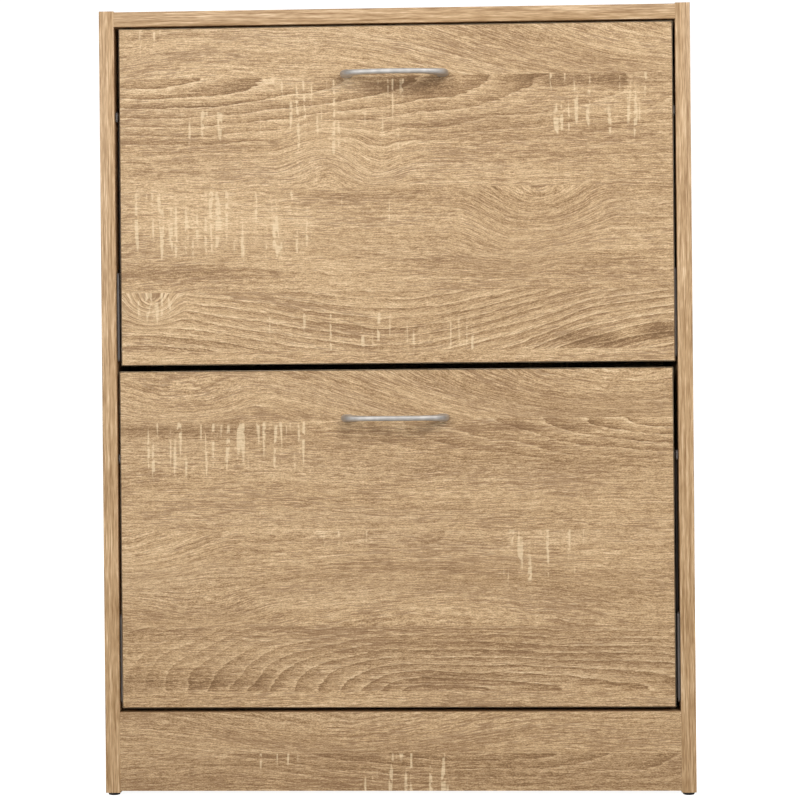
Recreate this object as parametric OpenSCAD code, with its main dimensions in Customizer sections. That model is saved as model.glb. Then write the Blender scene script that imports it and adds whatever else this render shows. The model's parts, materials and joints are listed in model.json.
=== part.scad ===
// Two-tier shoe cabinet: a board carcass on a plinth, with two pull-down flaps.
// Each flap is a door with a bow handle, and carries two rows of shoe pockets between
// two moulded brackets that turn on short pins in the side panels.
// Origin: middle of the bounding box, on the floor. Front faces -Y, +Z is up. Millimetres.

/* [Cabinet] */
// Overall width over the side panels
cabinet_w = 600; // [540:10:800]
// Overall height from the floor to the top of the side panels
cabinet_h = 800; // [780:5:900]
// Depth of the carcass, with the back panel
cabinet_d = 240; // [240:5:320]
// Thickness of the carcass and door boards
board_t = 15; // [15:1:16]
// Thickness of the back panels and of the boards in the racks
thin_t = 3; // [2.5:0.5:3.5]
// Thickness of the edging tape
edging_t = 0.8; // [0.4:0.2:1.2]
// How far the top panel sits below the ends of the side panels
top_drop = 1; // [0:0.5:3]

/* [Plinth] */
// Height of the plinth board
plinth_h = 80; // [60:5:90]
// Gap between the lower ends of the side panels and the plinth board
plinth_lift = 2; // [0:1:10]

/* [Doors] */
// Gap between the plinth and the lower door
bottom_gap = 4.5; // [4.5:0.5:8]
// Gap between the two doors
middle_gap = 6; // [5:0.5:10]
// Gap between the upper door and the top panel
top_gap = 2.5; // [2:0.5:6]
// Width left free beside both edges of a door together
side_play = 8; // [8:0.5:10]
// How far the upper door hangs to the right of the middle
upper_shift = 1.2; // [-1.2:0.1:1.2]
// How far the lower door hangs to the right of the middle
lower_shift = -1; // [-1.2:0.1:1.2]
// Angle that a flap opens to
flap_travel = 50; // [30:1:50]

/* [Handles] */
// Overall length of a bow handle
handle_l = 110; // [106:1:116]
// How far a handle stands out of its door
handle_reach = 25; // [22:1:30]
// Height of a handle at its feet
handle_h = 8; // [6:1:10]
// Spacing of the handle screws
handle_pitch = 96; // [94:1:98]
// Distance of a handle below the upper edge of its door
handle_drop = 49; // [40:1:60]

/* [Pivots] */
// Height of a pivot above the lower edge of its door
pivot_up = 40; // [40:1:42]
// Distance of a pivot behind the front face of its door
pivot_back = 17; // [17:0.5:18]
// Diameter of a pivot pin
pin_d = 8; // [6:0.5:8]
// Radial clearance of a pivot pin in its bush
pin_play = 0.05; // [0.03:0.01:0.1]
// Distance of the stop peg from the pivot
stop_r = 60; // [58:1:62]

/* [Hidden] */
$fn = 48;

// A little more than touching, so that a cut runs past a face or two solids join
eps = 0.01;
LEFT = -1;
RIGHT = 1;

// Colours
oak = "#c9a87c";
oak_tape = "#bd9560";
hardboard = "#8a6a4a";
grey_plastic = "#4f4d4e";
dark_plastic = "#2b2a2a";
nickel = "#b9b6b0";
zinc = "#c4c6c8";
beech = "#d8b98a";

// Carcass
inner_x = cabinet_w / 2 - board_t;
front_y = (handle_reach - cabinet_d) / 2;
back_y = front_y + cabinet_d;
board_back_y = back_y - thin_t;
side_mid_x = cabinet_w / 2 - board_t / 2;
top_z = cabinet_h - top_drop - board_t;
glide_h = 3;
plinth_z = glide_h + plinth_lift;
plinth_top_z = plinth_z + plinth_h;
bottom_z = plinth_top_z - board_t;
half_t = board_t / 2;

// Doors and flaps, each worked out from its pivot
door_w = 2 * inner_x - side_play;
door_h = (top_z - top_gap - middle_gap - bottom_gap - plinth_top_z) / 2;
pivot_y = front_y + pivot_back;
lower_pivot_z = plinth_top_z + bottom_gap + pivot_up;
upper_pivot_z = lower_pivot_z + door_h + middle_gap;
door_front = -pivot_back;
door_back = door_front + board_t;
handle_z = door_h - pivot_up - handle_drop;

// Rear rail between the side panels, behind the swing of the racks
rail_h = 60;
rail_z = (bottom_z + top_z + board_t - rail_h) / 2;
rail_y = board_back_y - board_t;
seam_z = rail_z + rail_h / 2;
seam_gap = 1;

// Rack brackets
plate_t = 1.9;
plate_out = inner_x - 0.6;
plate_in = plate_out - plate_t;
plate_mid = plate_out - plate_t / 2;
flange_t = 2;
flange_x = inner_x - 21;
screw_x = inner_x - 13;
rib_t = 1.6;
rib_depth = 4;
rib_play = 0.1;
pin_l = 8.6;
bush_l = 10;
bush_r = pin_d / 2 + 2;

// Outline of a rack bracket about its pivot: distance back, height, corner radius.
// The racks are as deep as the carcass allows, so its rear points follow that depth.
rack_back = cabinet_d - thin_t - board_t - pivot_back - 3;
bracket_outline = [
  [-12, -36, 4], [4, -35, 6], [98, -17, 10], [102.5, 52, 12],
  [rack_back - 5, 70, 10], [rack_back, 210, 8], [rack_back - 16, 210, 6],
  [150, 165, 30], [109, 197, 8], [92, 197, 8], [50, 165, 30],
  [14, 219, 14], [-12, 219, 3], [-12, 209, 2], [3, 209, 3], [3, 55, 6], [-12, 55, 4]
];

// The boards of a rack: both ends of each centre line, as distance back and height
front_shelf_line = [[4, -22], [90, -6]];
divider_line = [[93.5, -2], [101, 190]];
rear_shelf_line = [[100.4, 62], [rack_back - 16, 80]];
rear_board_line = [[rack_back - 11.5, 84], [rack_back - 6, 204]];
rack_lines = [front_shelf_line, divider_line, rear_shelf_line, rear_board_line];

// Flange screws of a bracket, as heights about the pivot
flange_screws = [-24, 42, 214];
flange_spans = [[-33, 52], [211, 217]];

// Stop peg: its place about the pivot, with the flap closed
peg_r = 3;
peg_play = 0.3;
peg_angle = 75;
peg_bore_l = 10;
peg_tip_x = plate_in - 1;
peg_y = stop_r * cos(peg_angle);
peg_z = stop_r * sin(peg_angle);

// Cam fixings and dowels of the carcass boards: [y, z, face that the cam is let into].
// A dowel has no cam, so its face is "none".
cam_x = inner_x - 24;
top_fixings = [
  [front_y + 32, top_z + half_t, "down"], [back_y - 38, top_z + half_t, "down"],
  [front_y + 62, top_z + half_t, "none"], [back_y - 68, top_z + half_t, "none"]
];
bottom_fixings = [
  [front_y + 47, bottom_z + half_t, "down"], [back_y - 38, bottom_z + half_t, "down"],
  [front_y + 77, bottom_z + half_t, "none"], [back_y - 68, bottom_z + half_t, "none"]
];
plinth_fixings = [
  [front_y + half_t, plinth_z + plinth_h / 2 - 8, "back"],
  [front_y + half_t, plinth_z + 12, "none"], [front_y + half_t, plinth_top_z - 27, "none"]
];
rail_fixings = [
  [rail_y + half_t, seam_z, "front"],
  [rail_y + half_t, rail_z + 12, "none"], [rail_y + half_t, rail_z + rail_h - 12, "none"]
];
all_fixings = concat(top_fixings, bottom_fixings, plinth_fixings, rail_fixings);
dowel_r = 4;
dowel_l = 30;
dowel_in_side = 10;
bolt_r = 3;
bolt_thread_r = 2.5;
bolt_in_side = 11;
bolt_bore_r = 4;
cam_r = 7.4;
cam_h = 12;
cam_play = 0.1;
cap_r = 8.5;
cap_t = 0.8;

// Nails round the two back panels, as [x, z]
nail_r = 0.7;
nail_l = 18;
nail_head_r = 2;
nail_head_t = 0.8;
nail_cols = [for (i = [-3:3]) i * 80];
nail_rows = [for (i = [0:9]) bottom_z + 22 + i * (top_z - bottom_z - 30) / 9];
seam_nails = [for (x = nail_cols, s = [-1, 1]) [x, seam_z + 7 * s]];
end_nails = [for (x = nail_cols, z = [bottom_z + half_t, top_z + half_t]) [x, z]];
side_nails = [for (x = [-side_mid_x, side_mid_x], z = nail_rows) [x, z]];
back_nails = concat(seam_nails, end_nails, side_nails);
back_inset = 3;
lower_back_zs = [bottom_z + 2, seam_z - seam_gap / 2];
upper_back_zs = [seam_z + seam_gap / 2, cabinet_h - back_inset];

// Glides under the side panels. Their nails end below the lowest dowels of the plinth.
glide_r = 6;
glide_inset = 8;
glide_ys = [front_y + glide_inset, board_back_y - glide_inset];
glide_nail_r = 1;
glide_nail_l = 10;
glide_head_r = 2.4;
glide_head_t = 0.8;
glide_sink = 0.6;

// Wall brackets under the top panel, against the back
wall_x = cabinet_w / 3;
wall_leg = 40;
wall_w = 20;
wall_t = 2;
wall_hole_r = 2.75;
wall_hole_z = top_z - 22;
wall_screw_r = 1.75;
wall_screw_ys = [board_back_y - 28, board_back_y - 14];
wall_screw_l = 12;
wall_head_r = 3.2;
wall_head_t = 1.6;

// Handle screws and rack screws
handle_screw_r = 2;
handle_screw_bite = 8;
handle_head_r = 4;
handle_head_t = 2.4;
handle_inner_half = handle_pitch / 2 - 6;
handle_bar_t = 5;
bow_power = 2.5;
bow_steps = 40;
rack_screw_r = 1.6;
rack_screw_l = 12;
rack_head_r = 3.4;
rack_head_t = 1.8;

// ---------- helpers ----------

// A flat outline in the Y-Z plane, made solid from x0 to x1
module across(x0, x1) {
  translate([x0, 0, 0]) rotate([90, 0, 90]) linear_extrude(x1 - x0) children();
}

// A rod along X from x0 to x1, at [y, z]
module rod(x0, x1, y, z, r) {
  translate([x0, y, z]) rotate([0, 90, 0]) cylinder(h = x1 - x0, r = r);
}

// A box from one corner to the other
module box(low, high) {
  translate(low) cube(high - low);
}

// The same on both sides of the cabinet
module both_sides() {
  children();
  mirror([1, 0, 0]) children();
}

// A piece modelled on the right, put on the side asked for
module on_side(side) {
  mirror([side == LEFT ? 1 : 0, 0, 0]) children();
}

// A piece of a flap, modelled about its pivot
module at_pivot(pivot_z) {
  translate([0, pivot_y, pivot_z]) children();
}

function unit(v) = v / norm(v);
function turned(v, a) = [v[0] * cos(a) - v[1] * sin(a), v[0] * sin(a) + v[1] * cos(a)];
function flat(p) = [p[0], p[1]];

// The points that round corner b, which lies between a and c, to radius r
function round_corner(a, b, c, r, steps = 6) =
  let (
    u = unit(a - b),
    v = unit(c - b),
    half = acos(u * v) / 2,
    middle = b + unit(u + v) * r / sin(half),
    start = b + u * r / tan(half) - middle,
    sweep = (180 - 2 * half) * sign(cross(b - a, c - b))
  )
  [for (i = [0:steps]) middle + turned(start, sweep * i / steps)];

function round_outline(points) =
  let (n = len(points))
  [
    for (i = [0:n - 1])
      each round_corner(
        flat(points[(i + n - 1) % n]), flat(points[i]), flat(points[(i + 1) % n]), points[i][2]
      )
  ];

// ---------- carcass fixings ----------

// Turns +Z to point out of the face that a cam is let into
module out_of_face(face) {
  rotate([face == "down" ? 180 : face == "back" ? -90 : 90, 0, 0]) children();
}

module fixing_bores(fixings) {
  both_sides() for (f = fixings) {
    if (f[2] == "none") {
      end_x = inner_x + dowel_in_side;
      rod(end_x - dowel_l, end_x, f[0], f[1], dowel_r);
    } else {
      rod(cam_x, inner_x + eps, f[0], f[1], bolt_bore_r);
      rod(inner_x - eps, inner_x + bolt_in_side, f[0], f[1], bolt_thread_r);
      translate([cam_x, f[0], f[1]]) out_of_face(f[2])
        translate([0, 0, half_t - cam_h - cam_play])
          cylinder(h = cam_h + cam_play + eps, r = cam_r + cam_play);
    }
  }
}

module wooden_dowels() {
  end_x = inner_x + dowel_in_side;
  color(beech) both_sides() for (f = all_fixings) {
    if (f[2] == "none") rod(end_x - dowel_l, end_x, f[0], f[1], dowel_r);
  }
}

module cam_bolts() {
  neck_l = 4;
  color(zinc) both_sides() for (f = all_fixings) {
    if (f[2] != "none") {
      rod(inner_x, inner_x + bolt_in_side, f[0], f[1], bolt_thread_r);
      rod(cam_x + neck_l, inner_x + eps, f[0], f[1], bolt_r);
      rod(cam_x - eps, cam_x + neck_l + eps, f[0], f[1], bolt_r / 2);
      rod(cam_x - 2.5, cam_x, f[0], f[1], bolt_r);
    }
  }
}

// A cam: a disc with a cross for the screwdriver and a mouth for the head of the bolt
module cam_lock() {
  cross_l = 9;
  cross_w = 2;
  cross_depth = 2;
  mouth_w = 7;
  difference() {
    translate([0, 0, half_t - cam_h]) cylinder(h = cam_h, r = cam_r);
    for (turn = [0, 90]) rotate([0, 0, turn])
      translate([-cross_l / 2, -cross_w / 2, half_t - cross_depth])
        cube([cross_l, cross_w, cross_depth + eps]);
    translate([-3, -mouth_w / 2, -mouth_w / 2]) cube([cam_r + 4, mouth_w, mouth_w]);
  }
}

module cam_locks() {
  color(zinc) both_sides() for (f = all_fixings) {
    if (f[2] != "none") translate([cam_x, f[0], f[1]]) out_of_face(f[2]) cam_lock();
  }
}

module cam_caps() {
  color(oak) both_sides() for (f = all_fixings) {
    if (f[2] != "none")
      translate([cam_x, f[0], f[1]]) out_of_face(f[2])
        translate([0, 0, half_t]) cylinder(h = cap_t, r = cap_r);
  }
}

// ---------- carcass boards ----------

module side_panel(side) {
  color(oak) on_side(side) difference() {
    box([inner_x, front_y + edging_t, glide_h], [cabinet_w / 2, board_back_y, cabinet_h]);
    fixing_bores(all_fixings);
    for (pivot_z = [lower_pivot_z, upper_pivot_z]) at_pivot(pivot_z) {
      rod(inner_x - eps, inner_x + bush_l, 0, 0, bush_r);
      rod(inner_x - eps, inner_x + peg_bore_l, peg_y, peg_z, peg_r);
    }
  }
}

module side_edging(side) {
  color(oak_tape) on_side(side)
    box([inner_x, front_y, glide_h], [cabinet_w / 2, front_y + edging_t, cabinet_h]);
}

module top_panel() {
  color(oak) difference() {
    box([-inner_x, front_y + edging_t, top_z], [inner_x, board_back_y, top_z + board_t]);
    fixing_bores(top_fixings);
    both_sides() for (y = wall_screw_ys)
      translate([wall_x, y, top_z - eps]) cylinder(h = wall_screw_l - wall_t, r = wall_screw_r);
  }
}

module top_edging() {
  color(oak_tape)
    box([-inner_x, front_y, top_z], [inner_x, front_y + edging_t, top_z + board_t]);
}

module bottom_panel() {
  color(oak) difference() {
    box([-inner_x, front_y + board_t, bottom_z], [inner_x, board_back_y, plinth_top_z]);
    fixing_bores(bottom_fixings);
  }
}

module plinth_board() {
  color(oak) difference() {
    box([-inner_x, front_y, plinth_z], [inner_x, front_y + board_t, plinth_top_z]);
    fixing_bores(plinth_fixings);
  }
}

module rear_rail() {
  color(oak) difference() {
    box([-inner_x, rail_y, rail_z], [inner_x, board_back_y, rail_z + rail_h]);
    fixing_bores(rail_fixings);
  }
}

module back_nail(x, z) {
  translate([x, back_y, z]) rotate([90, 0, 0]) {
    cylinder(h = nail_head_t, r = nail_head_r, $fn = 24);
    cylinder(h = nail_l, r = nail_r, $fn = 24);
  }
}

// A back panel from one height to the other
module back_panel(zs) {
  half_w = cabinet_w / 2 - back_inset;
  color(hardboard) difference() {
    box([-half_w, board_back_y, zs[0]], [half_w, back_y, zs[1]]);
    for (p = back_nails) if (p[1] > zs[0] && p[1] < zs[1]) back_nail(p[0], p[1]);
    both_sides() translate([wall_x, board_back_y - 1, wall_hole_z])
      rotate([-90, 0, 0]) cylinder(h = thin_t + 2, r = wall_hole_r);
  }
}

module back_panel_nails() {
  color(zinc) for (p = back_nails) back_nail(p[0], p[1]);
}

// ---------- feet and wall fixing ----------

module floor_glides() {
  color(dark_plastic) both_sides() for (y = glide_ys) translate([side_mid_x, y, 0]) difference() {
    cylinder(h = glide_h, r = glide_r);
    translate([0, 0, -eps]) cylinder(h = glide_sink + glide_head_t + eps, r = glide_head_r);
    cylinder(h = glide_h + 1, r = glide_nail_r);
  }
}

module glide_nails() {
  color(zinc) both_sides() for (y = glide_ys) translate([side_mid_x, y, glide_sink]) {
    cylinder(h = glide_head_t, r = glide_head_r);
    cylinder(h = glide_nail_l, r = glide_nail_r);
  }
}

module wall_brackets() {
  low_x = wall_x - wall_w / 2;
  high_x = wall_x + wall_w / 2;
  color(zinc) both_sides() difference() {
    union() {
      box([low_x, board_back_y - wall_t, top_z - wall_leg], [high_x, board_back_y, top_z]);
      box([low_x, board_back_y - wall_leg, top_z - wall_t], [high_x, board_back_y, top_z]);
    }
    translate([wall_x, board_back_y - wall_t - 1, wall_hole_z])
      rotate([-90, 0, 0]) cylinder(h = wall_t + 2, r = wall_hole_r);
    for (y = wall_screw_ys)
      translate([wall_x, y, top_z - wall_t - 1]) cylinder(h = wall_t + 2, r = wall_screw_r);
  }
}

module wall_bracket_screws() {
  color(zinc) both_sides() for (y = wall_screw_ys) translate([wall_x, y, top_z - wall_t]) {
    translate([0, 0, -wall_head_t]) cylinder(h = wall_head_t, r = wall_head_r);
    cylinder(h = wall_screw_l, r = wall_screw_r);
  }
}

// ---------- pivots and stops ----------

module pivot_bush(side, pivot_z) {
  color(dark_plastic) on_side(side) at_pivot(pivot_z) difference() {
    rod(inner_x, inner_x + bush_l, 0, 0, bush_r);
    rod(inner_x - 1, inner_x + bush_l + 1, 0, 0, pin_d / 2 + pin_play);
  }
}

module stop_peg(side, pivot_z) {
  color(zinc) on_side(side) at_pivot(pivot_z)
    rod(peg_tip_x, inner_x + peg_bore_l, peg_y, peg_z, peg_r);
}

// ---------- flaps ----------

module door(pivot_z, shift) {
  color(oak) at_pivot(pivot_z) difference() {
    translate([shift, 0, 0]) box(
      [edging_t - door_w / 2, door_front, edging_t - pivot_up],
      [door_w / 2 - edging_t, door_back, door_h - pivot_up - edging_t]
    );
    for (x = [-handle_pitch / 2, handle_pitch / 2])
      translate([shift + x, door_front - 1, handle_z]) rotate([-90, 0, 0])
        cylinder(h = board_t + 2, r = handle_screw_r);
    rack_screw_shanks();
  }
}

// Four strips of tape: two over the whole width, and two between them
module door_edging(pivot_z, shift) {
  low = -pivot_up;
  high = door_h - pivot_up;
  half = door_w / 2;
  color(oak_tape) at_pivot(pivot_z) translate([shift, 0, 0]) {
    box([-half, door_front, low], [half, door_back, low + edging_t]);
    box([-half, door_front, high - edging_t], [half, door_back, high]);
    both_sides()
      box([half - edging_t, door_front, low + edging_t], [half, door_back, high - edging_t]);
  }
}

// Half of a superellipse, from one foot to the other, standing out towards -Y
function bow(half, reach) = [
  for (i = [0:bow_steps])
    let (a = 180 * i / bow_steps)
    [sign(cos(a)) * half * pow(abs(cos(a)), 2 / bow_power), -reach * pow(sin(a), 2 / bow_power)]
];

module handle(pivot_z, shift) {
  color(nickel) at_pivot(pivot_z) translate([shift, door_front, handle_z]) difference() {
    translate([0, 0, -handle_h / 2]) linear_extrude(handle_h) difference() {
      polygon(bow(handle_l / 2, handle_reach));
      translate([0, eps]) polygon(bow(handle_inner_half, handle_reach - handle_bar_t));
    }
    both_sides() translate([handle_pitch / 2, eps, 0]) rotate([90, 0, 0])
      cylinder(h = handle_screw_bite, r = handle_screw_r);
  }
}

module handle_screws(pivot_z, shift) {
  color(zinc) at_pivot(pivot_z) translate([shift, door_back, handle_z])
    both_sides() translate([handle_pitch / 2, 0, 0]) rotate([90, 0, 0]) {
      translate([0, 0, -handle_head_t]) cylinder(h = handle_head_t, r = handle_head_r);
      cylinder(h = board_t + handle_screw_bite - 1, r = handle_screw_r);
    }
}

// Points on an arc from one angle to another; skip leaves that many out at each end
function arc(middle, r, from, to, skip = 0, steps = 12) = [
  for (i = [skip:steps - skip])
    let (a = from + (to - from) * i / steps)
    middle + r * [cos(a), sin(a)]
];

// The curved slot that the stop peg runs in, cut through a bracket
module stop_slot() {
  slot_r = peg_r + peg_play;
  low = peg_angle - flap_travel;
  across(plate_in - 1, plate_out + 1) polygon(concat(
    arc([0, 0], stop_r + slot_r, low, peg_angle),
    arc(stop_r * [cos(peg_angle), sin(peg_angle)], slot_r, peg_angle, peg_angle + 180, 1),
    arc([0, 0], stop_r - slot_r, peg_angle, low),
    arc(stop_r * [cos(low), sin(low)], slot_r, low + 180, low + 360, 1)
  ));
}

// Two ribs that hold the end of a board between them
module board_ribs(line) {
  run = line[1] - line[0];
  across(plate_in - rib_depth, plate_mid)
    translate(line[0]) rotate(atan2(run[1], run[0])) for (s = [0, 1]) mirror([0, s])
      translate([0, thin_t / 2 + rib_play]) square([norm(run), rib_t]);
}

module rack_bracket(side, pivot_z) {
  color(grey_plastic) on_side(side) at_pivot(pivot_z) {
    difference() {
      union() {
        across(plate_in, plate_out) polygon(round_outline(bracket_outline));
        for (line = rack_lines) board_ribs(line);
        for (span = flange_spans)
          box([flange_x, door_back, span[0]], [plate_mid, door_back + flange_t, span[1]]);
      }
      stop_slot();
      for (z = flange_screws) translate([screw_x, door_back - 1, z]) rotate([-90, 0, 0])
        cylinder(h = flange_t + 2, r = rack_screw_r);
    }
    rod(plate_mid, plate_out + pin_l, 0, 0, pin_d / 2);
  }
}

module rack_screw_shanks() {
  both_sides() for (z = flange_screws)
    translate([screw_x, door_back + flange_t + eps, z]) rotate([90, 0, 0])
      cylinder(h = rack_screw_l + eps, r = rack_screw_r);
}

module bracket_screws(pivot_z) {
  color(zinc) at_pivot(pivot_z) {
    rack_screw_shanks();
    both_sides() for (z = flange_screws)
      translate([screw_x, door_back + flange_t, z]) rotate([-90, 0, 0])
        cylinder(h = rack_head_t, r = rack_head_r);
  }
}

// A thin board of a rack, held at both ends in the ribs
module rack_board(pivot_z, line) {
  run = line[1] - line[0];
  color(hardboard) at_pivot(pivot_z)
    across(0.2 - plate_in, plate_in - 0.2)
      translate(line[0]) rotate(atan2(run[1], run[0]))
        translate([0, -thin_t / 2]) square([norm(run), thin_t]);
}

// ---------- nodes ----------

side_panel(LEFT);  // left_side_panel
side_panel(RIGHT);  // right_side_panel
side_edging(LEFT);  // left_side_edging
side_edging(RIGHT);  // right_side_edging
top_panel();
top_edging();
bottom_panel();
plinth_board();
rear_rail();
back_panel(upper_back_zs);  // upper_back_panel
back_panel(lower_back_zs);  // lower_back_panel
back_panel_nails();
wooden_dowels();
cam_bolts();
cam_locks();
cam_caps();
floor_glides();
glide_nails();
wall_brackets();
wall_bracket_screws();
pivot_bush(LEFT, upper_pivot_z);  // upper_left_pivot_bush
pivot_bush(RIGHT, upper_pivot_z);  // upper_right_pivot_bush
pivot_bush(LEFT, lower_pivot_z);  // lower_left_pivot_bush
pivot_bush(RIGHT, lower_pivot_z);  // lower_right_pivot_bush
stop_peg(LEFT, upper_pivot_z);  // upper_left_stop_peg
stop_peg(RIGHT, upper_pivot_z);  // upper_right_stop_peg
stop_peg(LEFT, lower_pivot_z);  // lower_left_stop_peg
stop_peg(RIGHT, lower_pivot_z);  // lower_right_stop_peg
door(upper_pivot_z, upper_shift);  // upper_door
door_edging(upper_pivot_z, upper_shift);  // upper_door_edging
handle(upper_pivot_z, upper_shift);  // upper_handle
handle_screws(upper_pivot_z, upper_shift);  // upper_handle_screws
rack_bracket(LEFT, upper_pivot_z);  // upper_left_rack_bracket
rack_bracket(RIGHT, upper_pivot_z);  // upper_right_rack_bracket
bracket_screws(upper_pivot_z);  // upper_bracket_screws
rack_board(upper_pivot_z, front_shelf_line);  // upper_front_shelf
rack_board(upper_pivot_z, divider_line);  // upper_divider
rack_board(upper_pivot_z, rear_shelf_line);  // upper_rear_shelf
rack_board(upper_pivot_z, rear_board_line);  // upper_rear_board
door(lower_pivot_z, lower_shift);  // lower_door
door_edging(lower_pivot_z, lower_shift);  // lower_door_edging
handle(lower_pivot_z, lower_shift);  // lower_handle
handle_screws(lower_pivot_z, lower_shift);  // lower_handle_screws
rack_bracket(LEFT, lower_pivot_z);  // lower_left_rack_bracket
rack_bracket(RIGHT, lower_pivot_z);  // lower_right_rack_bracket
bracket_screws(lower_pivot_z);  // lower_bracket_screws
rack_board(lower_pivot_z, front_shelf_line);  // lower_front_shelf
rack_board(lower_pivot_z, divider_line);  // lower_divider
rack_board(lower_pivot_z, rear_shelf_line);  // lower_rear_shelf
rack_board(lower_pivot_z, rear_board_line);  // lower_rear_board
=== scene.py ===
import bmesh
import bpy
import json
import math
import numpy as np
import random
from mathutils import Euler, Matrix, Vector


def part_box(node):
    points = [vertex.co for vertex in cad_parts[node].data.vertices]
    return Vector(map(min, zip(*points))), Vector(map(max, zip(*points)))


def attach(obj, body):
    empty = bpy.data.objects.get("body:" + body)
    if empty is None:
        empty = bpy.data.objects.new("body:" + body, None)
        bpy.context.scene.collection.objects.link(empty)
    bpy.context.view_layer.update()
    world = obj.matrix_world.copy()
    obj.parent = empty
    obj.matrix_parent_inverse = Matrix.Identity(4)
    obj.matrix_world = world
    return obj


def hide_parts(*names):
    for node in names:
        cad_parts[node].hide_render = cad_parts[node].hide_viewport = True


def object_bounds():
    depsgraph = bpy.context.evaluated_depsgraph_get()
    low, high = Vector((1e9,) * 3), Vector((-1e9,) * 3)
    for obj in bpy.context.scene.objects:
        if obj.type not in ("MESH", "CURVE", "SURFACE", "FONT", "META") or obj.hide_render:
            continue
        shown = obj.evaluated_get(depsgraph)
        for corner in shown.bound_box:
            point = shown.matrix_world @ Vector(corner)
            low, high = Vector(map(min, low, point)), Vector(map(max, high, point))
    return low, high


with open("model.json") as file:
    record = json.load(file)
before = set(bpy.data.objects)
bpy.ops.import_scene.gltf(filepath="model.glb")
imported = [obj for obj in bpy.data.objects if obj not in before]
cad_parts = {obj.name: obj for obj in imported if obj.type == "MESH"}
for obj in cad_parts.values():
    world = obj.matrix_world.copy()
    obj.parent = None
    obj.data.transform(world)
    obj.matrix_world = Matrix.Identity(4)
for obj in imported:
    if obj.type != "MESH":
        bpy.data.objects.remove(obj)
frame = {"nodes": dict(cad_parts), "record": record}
cad_low, cad_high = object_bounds()

# ---------------------------------------------------------------------------
# Camera: a long lens a little right of the middle, level with the lower door's handle,
# turned slightly to the left and rolled by half a degree.
front_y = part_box("plinth_board")[0].y
camera_distance = 2.4
camera_x = 0.1176
camera_z = 0.4542
camera_turn = Euler([math.radians(a) for a in (89.902, 0.523, 2.699)], "XYZ")

camera_data = bpy.data.cameras.new("camera")
camera_data.sensor_width = 36
camera_data.lens = 106.65
camera_data.shift_y = -0.06
camera = bpy.data.objects.new("camera", camera_data)
camera.location = (camera_x, front_y - camera_distance, camera_z)
camera.rotation_mode = "XYZ"
camera.rotation_euler = camera_turn
bpy.context.scene.collection.objects.link(camera)
bpy.context.scene.camera = camera


# ---------------------------------------------------------------------------
# Side panels: chipboard faced with sawn-oak melamine, grain upright. The rear and lower
# ends are left raw, the upper end is taped, and the front edge has a strip of tape of its own.
MM = 0.001


def new_piece(name, mesh, *materials):
    """An object at the origin that holds mesh and wears these materials."""
    piece = bpy.data.objects.new(name, mesh)
    bpy.context.scene.collection.objects.link(piece)
    for material in materials:
        mesh.materials.append(material)
    return piece


class Tree:
    """A few short calls for wiring a node tree."""

    def __init__(self, tree):
        self.nodes, self.links = tree.nodes, tree.links
        self.column = 0

    def add(self, kind, inputs=None, **settings):
        made = self.nodes.new(kind)
        self.column += 180
        made.location = (self.column, 0)
        for key, value in settings.items():
            setattr(made, key, value)
        for key, value in (inputs or {}).items():
            self.put(made.inputs[key], value)
        return made

    def put(self, socket, value):
        if isinstance(value, bpy.types.NodeSocket):
            self.links.new(value, socket)
        else:
            socket.default_value = value

    def math(self, operation, a, b=0.0, c=0.0, clamp=False):
        made = self.add("ShaderNodeMath", {0: a, 1: b, 2: c}, operation=operation, use_clamp=clamp)
        return made.outputs[0]

    def step(self, value, low, high):
        """0 below low, 1 above high, and smooth between them; low may be above high."""
        made = self.add("ShaderNodeMapRange", {"Value": value}, interpolation_type="SMOOTHSTEP")
        self.put(made.inputs["From Min"], low)
        self.put(made.inputs["From Max"], high)
        return made.outputs["Result"]

    def noise(self, x, per_x, y, per_y, z, detail=2.0, roughness=0.5):
        """Noise with per_x cells to the metre along x and per_y along y."""
        x, y = self.math("MULTIPLY", x, per_x), self.math("MULTIPLY", y, per_y)
        place = self.add("ShaderNodeCombineXYZ", {0: x, 1: y, 2: z}).outputs[0]
        made = self.add("ShaderNodeTexNoise", {"Vector": place, "Scale": 1.0, "Detail": detail})
        made.inputs["Roughness"].default_value = roughness
        return made.outputs["Fac"]

    def cells(self, place, scale, detail):
        """Noise with this many cells to the metre every way."""
        made = self.add("ShaderNodeTexNoise", {"Vector": place, "Scale": scale, "Detail": detail})
        return made.outputs["Fac"]

    def ramp(self, value, stops):
        made = self.add("ShaderNodeValToRGB", {"Fac": value})
        band = made.color_ramp.elements
        while len(band) < len(stops):
            band.new(0.5)
        for element, (place, colour) in zip(band, stops):
            element.position = place
            element.color = (*colour, 1)
        return made.outputs["Color"]

    def mix(self, share, a, b, blend="MIX"):
        """Two colours mixed. A Mix node takes its colours at 6 and 7 and gives one at 2."""
        made = self.add("ShaderNodeMix", data_type="RGBA", blend_type=blend)
        self.put(made.inputs[0], share)
        for socket, colour in ((6, a), (7, b)):
            wired = isinstance(colour, bpy.types.NodeSocket)
            self.put(made.inputs[socket], colour if wired else (*colour, 1))
        return made.outputs[2]

    def bump(self, height, strength, distance):
        inputs = {"Height": height, "Strength": strength, "Distance": distance}
        return self.add("ShaderNodeBump", inputs).outputs["Normal"]


def shader_group(name, inputs, outputs):
    """An empty shader node group with float or vector sockets, and the Tree that wires it."""
    group = bpy.data.node_groups.new(name, "ShaderNodeTree")
    for key, value in inputs.items():
        kind = "NodeSocketVector" if value is None else "NodeSocketFloat"
        made = group.interface.new_socket(key, in_out="INPUT", socket_type=kind)
        if value is not None:
            made.default_value = value
    for key in outputs:
        group.interface.new_socket(key, in_out="OUTPUT", socket_type="NodeSocketFloat")
    tree = Tree(group)
    return group, tree, tree.add("NodeGroupInput").outputs, tree.add("NodeGroupOutput").inputs


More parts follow.
